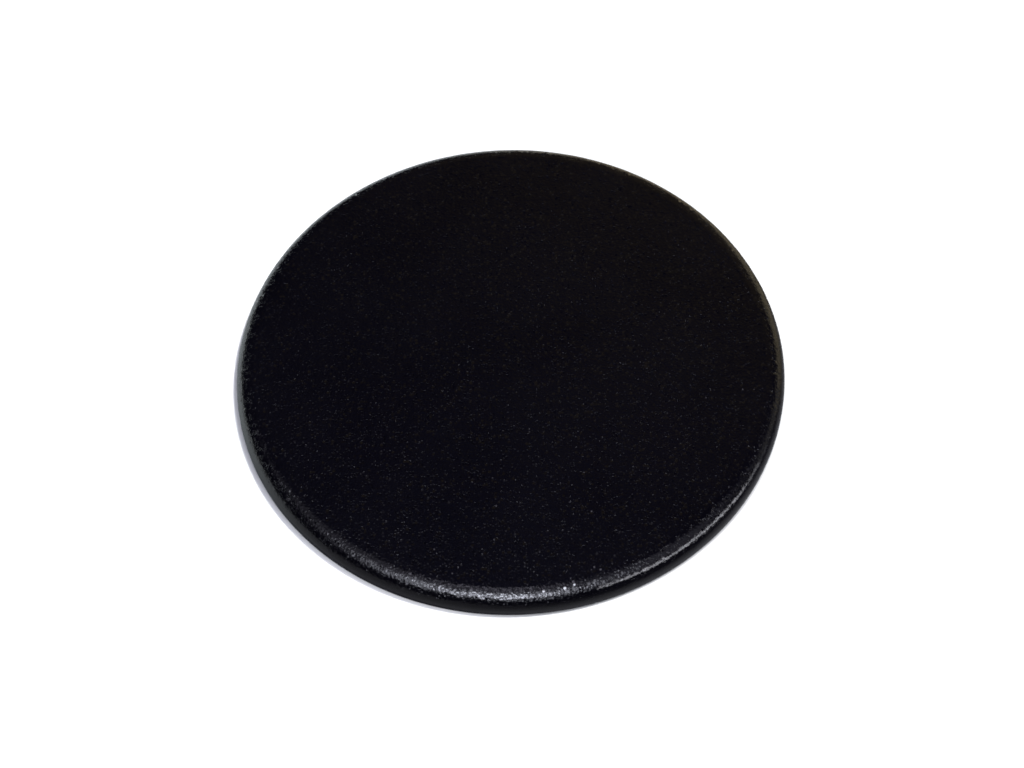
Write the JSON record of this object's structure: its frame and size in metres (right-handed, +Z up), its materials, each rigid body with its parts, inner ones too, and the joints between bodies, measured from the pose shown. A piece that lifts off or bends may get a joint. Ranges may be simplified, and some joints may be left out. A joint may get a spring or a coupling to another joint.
{
  "type": "gas burner cap",
  "caption": "Round flat burner cap pressed from steel sheet, enamelled satin black, with a rounded shoulder and a short turned-down rim that seats it on a gas burner's crown.",
  "frame": {"origin": "centre of the rim's bottom plane, on the cap's axis", "axes": "+Z up along the cap's axis, out of its flat top; X and Y lie in the rim's plane and are interchangeable, because the cap is round"},
  "size_m": [0.1, 0.1, 0.0044],
  "materials": {
    "enamel": "satin"
  },
  "bodies": {
    "root": {"burner_cap": "enamel"}
  },
  "joints": []
}
